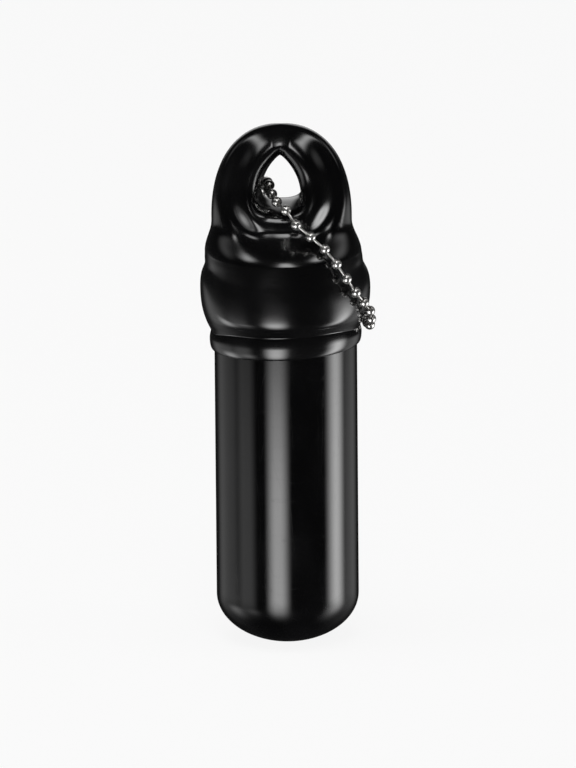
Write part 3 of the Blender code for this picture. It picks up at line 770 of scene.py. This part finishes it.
class Tree:
    """A material's or a world's nodes, added one call at a time."""

    def __init__(self, tree):
        self.tree = tree

    def add(self, kind, **settings):
        node = self.tree.nodes.new(kind)
        for name, value in settings.items():
            setattr(node, name, value)
        return node

    def join(self, source, target):
        """Give a socket a value, or link another socket to it."""
        if isinstance(source, (int, float, tuple)):
            target.default_value = source
        else:
            self.tree.links.new(source, target)

    def math(self, operation, first, second=0.0):
        node = self.add("ShaderNodeMath", operation=operation)
        self.join(first, node.inputs[0])
        self.join(second, node.inputs[1])
        return node.outputs[0]

    def blend(self, share, low, high):
        """low where the share is 0 and high where it is 1."""
        node = self.add("ShaderNodeMix", data_type="RGBA")
        self.join(share, node.inputs["Factor"])
        self.join(low, node.inputs[MIX_FIRST])
        self.join(high, node.inputs[MIX_SECOND])
        return node.outputs[MIX_RESULT]

    def span(self, value, low, high, to_low=0.0, to_high=1.0):
        """A smooth change from to_low to to_high as a value goes from low to high."""
        node = self.add("ShaderNodeMapRange", interpolation_type="SMOOTHSTEP")
        self.join(value, node.inputs["Value"])
        node.inputs["From Min"].default_value = low
        node.inputs["From Max"].default_value = high
        node.inputs["To Min"].default_value = to_low
        node.inputs["To Max"].default_value = to_high
        return node.outputs[0]

    def noise(self, place, scale, detail, stretch=(1.0, 1.0, 1.0)):
        """Noise of a scale in features a metre. A small number stretches it along its axis."""
        mapping = self.add("ShaderNodeMapping")
        self.join(place, mapping.inputs["Vector"])
        mapping.inputs["Scale"].default_value = stretch
        node = self.add("ShaderNodeTexNoise")
        self.join(mapping.outputs[0], node.inputs["Vector"])
        node.inputs["Scale"].default_value = scale
        node.inputs["Detail"].default_value = detail
        return node.outputs["Fac"]

    def bump(self, height, distance, strength, below=None):
        """A normal bent by a height from 0 to 1 over a distance, on top of the bump below."""
        node = self.add("ShaderNodeBump")
        node.inputs["Distance"].default_value = distance
        node.inputs["Strength"].default_value = strength
        self.join(height, node.inputs["Height"])
        if below is not None:
            self.join(below, node.inputs["Normal"])
        return node.outputs[0]


def new_material(name):
    """A material, its nodes, its shader and its object coordinates."""
    material = bpy.data.materials.new(name)
    material.use_nodes = True
    tree = Tree(material.node_tree)
    shader = material.node_tree.nodes["Principled BSDF"]
    place = tree.add("ShaderNodeTexCoord").outputs["Object"]
    return material, tree, shader, place


def hairlines(tree, place, scale, stretch, width):
    """Thin wandering lines: 1 on a line and 0 away from it."""
    drift = tree.noise(place, scale, 1.0, stretch)
    off = tree.math("ABSOLUTE", tree.math("SUBTRACT", drift, 0.5))
    return tree.span(off, 0.0, width, 1.0, 0.0)


def tube_plastic():
    """Polished black plastic with faint mould ripple, handling haze and hairline scratches. It
    fades to satin over the foot."""
    material, tree, shader, place = new_material("polished_plastic")
    haze = tree.noise(place, HAZE_SCALE, 5.0, (1.0, 1.0, 0.6))
    lines = hairlines(tree, place, LONG_SCRATCH_SCALE, (1.0, 1.0, 0.12), 0.006)
    cross = hairlines(tree, place, CROSS_SCRATCH_SCALE, (0.15, 0.15, 1.0), 0.004)
    marks = tree.math("MAXIMUM", lines, cross)
    rough = tree.span(haze, 0.35, 0.75, *PLASTIC_ROUGHNESS)
    colour = tree.blend(tree.span(haze, 0.3, 0.8), *PLASTIC_COLOURS)
    tree.join(colour, shader.inputs["Base Color"])
    parts = tree.add("ShaderNodeSeparateXYZ")
    tree.join(place, parts.inputs[0])
    height = parts.outputs[2]
    satin = tree.span(height, SATIN_LOW, SATIN_TOP, SATIN_ROUGHNESS, 0.0)
    rough = tree.math("ADD", rough, satin)
    scratched = tree.math("MULTIPLY", marks, PLASTIC_SCRATCH_ROUGHNESS)
    tree.join(tree.math("ADD", rough, scratched), shader.inputs["Roughness"])
    coat = tree.span(height, SATIN_LOW, SATIN_TOP, 0.0, PLASTIC_COAT)
    tree.join(coat, shader.inputs["Coat Weight"])
    shine = tree.span(height, SATIN_LOW, SATIN_TOP, SATIN_SHINE, PLASTIC_SHINE)
    tree.join(shine, shader.inputs["Specular IOR Level"])
    ripple = tree.bump(tree.noise(place, RIPPLE_SCALE, 1.0), RIPPLE_HEIGHT, 0.6)
    tree.join(tree.bump(marks, SCRATCH_HEIGHT, 0.35, ripple), shader.inputs["Normal"])
    shader.inputs["IOR"].default_value = GLOSS_IOR
    shader.inputs["Coat Roughness"].default_value = PLASTIC_COAT_ROUGHNESS
    return material


def cap_vinyl():
    """Dipped black vinyl: a soft skin with slow waves, fine pores and dull rub marks."""
    material, tree, shader, place = new_material("dipped_vinyl")
    waves = tree.noise(place, WAVE_SCALE, 2.0, (1.0, 1.0, 1.3))
    pores = tree.noise(place, PORE_SCALE, 2.0)
    rubs = tree.noise(place, RUB_SCALE, 6.0)
    rough = tree.span(rubs, 0.4, 0.75, *VINYL_ROUGHNESS)
    tree.join(rough, shader.inputs["Roughness"])
    colour = tree.blend(tree.span(rubs, 0.35, 0.8), *VINYL_COLOURS)
    tree.join(colour, shader.inputs["Base Color"])
    skin = tree.bump(waves, WAVE_HEIGHT, 0.5)
    tree.join(tree.bump(pores, PORE_HEIGHT, 0.35, skin), shader.inputs["Normal"])
    shader.inputs["IOR"].default_value = GLOSS_IOR
    shader.inputs["Coat Weight"].default_value = VINYL_COAT
    shader.inputs["Coat Roughness"].default_value = VINYL_COAT_ROUGHNESS
    return material


def chain_metal(name, colours, roughness):
    """Bare or plated metal: bright, with a darker bloom in patches and fine scratches."""
    material, tree, shader, place = new_material(name)
    bloom = tree.noise(place, BLOOM_SCALE, 4.0)
    marks = hairlines(tree, place, METAL_SCRATCH_SCALE, (1.0, 0.3, 1.0), 0.02)
    colour = tree.blend(tree.span(bloom, 0.4, 0.75), *colours)
    tree.join(colour, shader.inputs["Base Color"])
    rough = tree.span(bloom, 0.35, 0.75, roughness, roughness + METAL_BLOOM_ROUGHNESS)
    scratched = tree.math("MULTIPLY", marks, METAL_SCRATCH_ROUGHNESS)
    tree.join(tree.math("ADD", rough, scratched), shader.inputs["Roughness"])
    tree.join(tree.bump(marks, METAL_SCRATCH_HEIGHT, 0.4), shader.inputs["Normal"])
    shader.inputs["Metallic"].default_value = 1.0
    return material


# Placing


def add_piece(name, mesh, turn, body, node):
    """Put a mesh where a turn lays it, on a body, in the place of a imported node."""
    thing = new_object(name, mesh)
    thing.matrix_world = turn
    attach(thing, body)
    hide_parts(node)


def laid(place, direction):
    """The transform that lays Z along a direction at a place."""
    return Matrix.Translation(place) @ direction.to_track_quat("Z", "Y").to_matrix().to_4x4()


def body_of(node):
    """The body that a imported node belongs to."""
    bodies = frame["record"]["behaviour"]["bodies"]
    return next(body for body, nodes in bodies.items() if node in nodes)


def earlier_bead(index):
    """The bead that a bead hangs from, on the way back to the root bead."""
    return 0 if index == FRONT_BEADS + 1 else index - 1


def link_directions(places):
    """The directions of the links that meet in each bead, the one to its earlier bead first."""
    directions = [[] for _ in places]
    for index in range(1, BEAD_COUNT):
        before = earlier_bead(index)
        direction = (places[index] - places[before]).normalized()
        directions[before].append(direction)
        directions[index].append(direction)
    return directions


def add_beads(places, directions, nickel):
    """The beads on their packed places. Each is turned half way between its two links."""
    mesh = bead_mesh(nickel)
    for index, place in enumerate(places):
        if index:
            axis = sum(directions[index], Vector())
        else:
            axis = directions[0][0] - directions[0][1]
        node = f"bead_{index + 1:02d}"
        add_piece(f"chain_{node}", mesh, laid(place, axis), body_of(node), node)


def add_links(places, directions, steel):
    """The links, each from its earlier bead on. The last rides with the connector, so it starts
    in its own bead and its far end is free."""
    link = link_mesh("link", steel)
    stub = link_mesh("link_stub", steel, far_head=False)
    last = BEAD_COUNT - 1
    for index in range(1, BEAD_COUNT):
        mesh, turn = link, laid(places[earlier_bead(index)], directions[index][0])
        if index == last:
            mesh, turn = stub, laid(places[last], -directions[last][0])
        node = f"link_{index:02d}"
        add_piece(f"chain_{node}", mesh, turn, body_of(node), node)


def connector_outward(first, along):
    """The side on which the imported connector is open: the one its vertices lie furthest from."""
    spread = Vector()
    for vertex in frame["nodes"]["chain_connector"].data.vertices:
        off = vertex.co - first
        off -= along * off.dot(along)
        spread += off
    outward = -spread
    return (outward - along * outward.dot(along)).normalized()


def add_connector(first, end, nickel):
    """The sleeve between the chain's two end beads."""
    along = (end - first).normalized()
    outward = connector_outward(first, along)
    turn = Matrix((outward, along.cross(outward), along)).transposed().to_4x4()
    middle = Matrix.Translation((first + end) / 2)
    node = "chain_connector"
    mesh = connector_mesh(nickel)
    add_piece("chain_sleeve", mesh, middle @ turn, body_of(node), node)


def add_chain():
    """The beads, links and connector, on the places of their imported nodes."""
    nickel = chain_metal("plated_nickel", NICKEL_COLOURS, NICKEL_ROUGHNESS)
    steel = chain_metal("steel_wire", STEEL_COLOURS, STEEL_ROUGHNESS)
    places = [node_middle(f"bead_{index + 1:02d}") for index in range(BEAD_COUNT)]
    directions = link_directions(places)
    add_beads(places, directions, nickel)
    add_links(places, directions, steel)
    add_connector(places[FRONT_BEADS], places[BEAD_COUNT - 1], nickel)


def add_capsule():
    """The tube and its cap, which are modelled in place."""
    tube = turned_mesh("tube_shell", tube_profile(), TUBE_SIDES, tube_plastic())
    add_piece("tube_shell", tube, Matrix.Identity(4), "capsule", "capsule_tube")
    cap = cap_mesh(cap_vinyl())
    add_piece("cap_skin", cap, Matrix.Identity(4), "cap", "loop_cap")


# Studio


def add_camera():
    """The photograph's view: from far off, a little above and slightly rolled."""
    data = bpy.data.cameras.new("camera")
    data.sensor_fit = "VERTICAL"
    data.sensor_height = SENSOR_HEIGHT
    data.lens = CAMERA_LENS
    data.clip_start = CLIP_START
    camera = new_object("camera", data)
    lift = math.radians(CAMERA_ELEVATION)
    back = Vector((0, -math.cos(lift), math.sin(lift)))
    turn = back.to_track_quat("Z", "Y").to_matrix().to_4x4()
    roll = Matrix.Rotation(math.radians(CAMERA_ROLL), 4, "Z")
    camera.matrix_world = Matrix.Translation(AIM_POINT + back * CAMERA_DISTANCE) @ turn @ roll
    bpy.context.scene.camera = camera


def edge_span(tree, angle, edge, softness):
    """1 short of a box's edge and 0 past it, with the edge and its softness in degrees."""
    start, end = math.radians(edge - softness), math.radians(edge + softness)
    return tree.span(angle, start, end, 1.0, 0.0)


def box_strength(tree, azimuth, elevation, box):
    """How bright one soft box of light makes the world at a direction."""
    middle, half, soft, low, low_soft, high, high_soft, bright = box
    off = tree.math("SUBTRACT", azimuth, math.radians(middle))
    wrapped = tree.math("ARCTAN2", tree.math("SINE", off), tree.math("COSINE", off))
    aside = edge_span(tree, tree.math("ABSOLUTE", wrapped), half, soft)
    rise = edge_span(tree, tree.math("MULTIPLY", elevation, -1.0), -low, low_soft)
    fall = edge_span(tree, elevation, high, high_soft)
    level = tree.math("MULTIPLY", rise, fall)
    return tree.math("MULTIPLY", tree.math("MULTIPLY", aside, level), bright)


def add_world():
    """White behind the object, and soft boxes of light in a dim studio round it."""
    world = bpy.data.worlds.new("studio")
    bpy.context.scene.world = world
    world.use_nodes = True
    tree = Tree(world.node_tree)
    way = tree.add("ShaderNodeSeparateXYZ")
    tree.join(tree.add("ShaderNodeTexCoord").outputs["Generated"], way.inputs[0])
    azimuth = tree.math("ARCTAN2", way.outputs[0], tree.math("MULTIPLY", way.outputs[1], -1.0))
    elevation = tree.math("ARCSINE", way.outputs[2])
    total = STUDIO_DARK
    for box in BOXES:
        total = tree.math("ADD", total, box_strength(tree, azimuth, elevation, box))
    studio = world.node_tree.nodes["Background"]
    tree.join(total, studio.inputs["Strength"])
    white = tree.add("ShaderNodeBackground")
    white.inputs["Color"].default_value = WHITE
    mixed = tree.add("ShaderNodeMixShader")
    tree.join(tree.add("ShaderNodeLightPath").outputs["Is Camera Ray"], mixed.inputs[0])
    tree.join(studio.outputs[0], mixed.inputs[1])
    tree.join(white.outputs[0], mixed.inputs[2])
    studio.inputs["Color"].default_value = WHITE
    tree.join(mixed.outputs[0], world.node_tree.nodes["World Output"].inputs["Surface"])


def floor_material():
    """A pale, faintly glowing matt surface, which gloss and shadow rays pass through."""
    material = bpy.data.materials.new("pale_floor")
    material.use_nodes = True
    tree = Tree(material.node_tree)
    material.node_tree.nodes.remove(material.node_tree.nodes["Principled BSDF"])
    matt = tree.add("ShaderNodeBsdfDiffuse")
    matt.inputs["Color"].default_value = FLOOR_COLOUR
    glow = tree.add("ShaderNodeEmission")
    pale = tree.add("ShaderNodeMixShader")
    pale.inputs[0].default_value = FLOOR_GLOW
    tree.join(matt.outputs[0], pale.inputs[1])
    tree.join(glow.outputs[0], pale.inputs[2])
    paths = tree.add("ShaderNodeLightPath")
    clear = tree.add("ShaderNodeBsdfTransparent")
    seen = tree.add("ShaderNodeMixShader")
    hidden = tree.math("MAXIMUM", paths.outputs["Is Glossy Ray"], paths.outputs["Is Shadow Ray"])
    tree.join(hidden, seen.inputs[0])
    tree.join(pale.outputs[0], seen.inputs[1])
    tree.join(clear.outputs[0], seen.inputs[2])
    tree.join(seen.outputs[0], material.node_tree.nodes["Material Output"].inputs["Surface"])
    return material


def add_floor():
    """A pale floor that takes the object's shadow and stays out of its gloss."""
    half = FLOOR_SIZE / 2
    mesh = bpy.data.meshes.new("floor")
    corners = [(-half, -half, 0), (half, -half, 0), (half, half, 0), (-half, half, 0)]
    mesh.from_pydata(corners, [], [(0, 1, 2, 3)])
    mesh.materials.append(floor_material())
    floor = new_object("floor", mesh)


def add_top_light():
    """One large soft lamp overhead, which draws the shadow under the object."""
    data = bpy.data.lights.new("overhead", "AREA")
    data.size = LAMP_SIZE
    data.energy = LAMP_ENERGY
    lamp = new_object("overhead", data)
    lamp.location = LAMP_PLACE
    lamp.rotation_euler = LAMP_PLACE.to_track_quat("Z", "Y").to_euler()
    lamp.visible_glossy = False


def main():
    add_capsule()
    add_chain()
    add_camera()
    add_world()
    add_floor()
    add_top_light()
    bpy.context.scene.view_settings.view_transform = "Standard"


main()
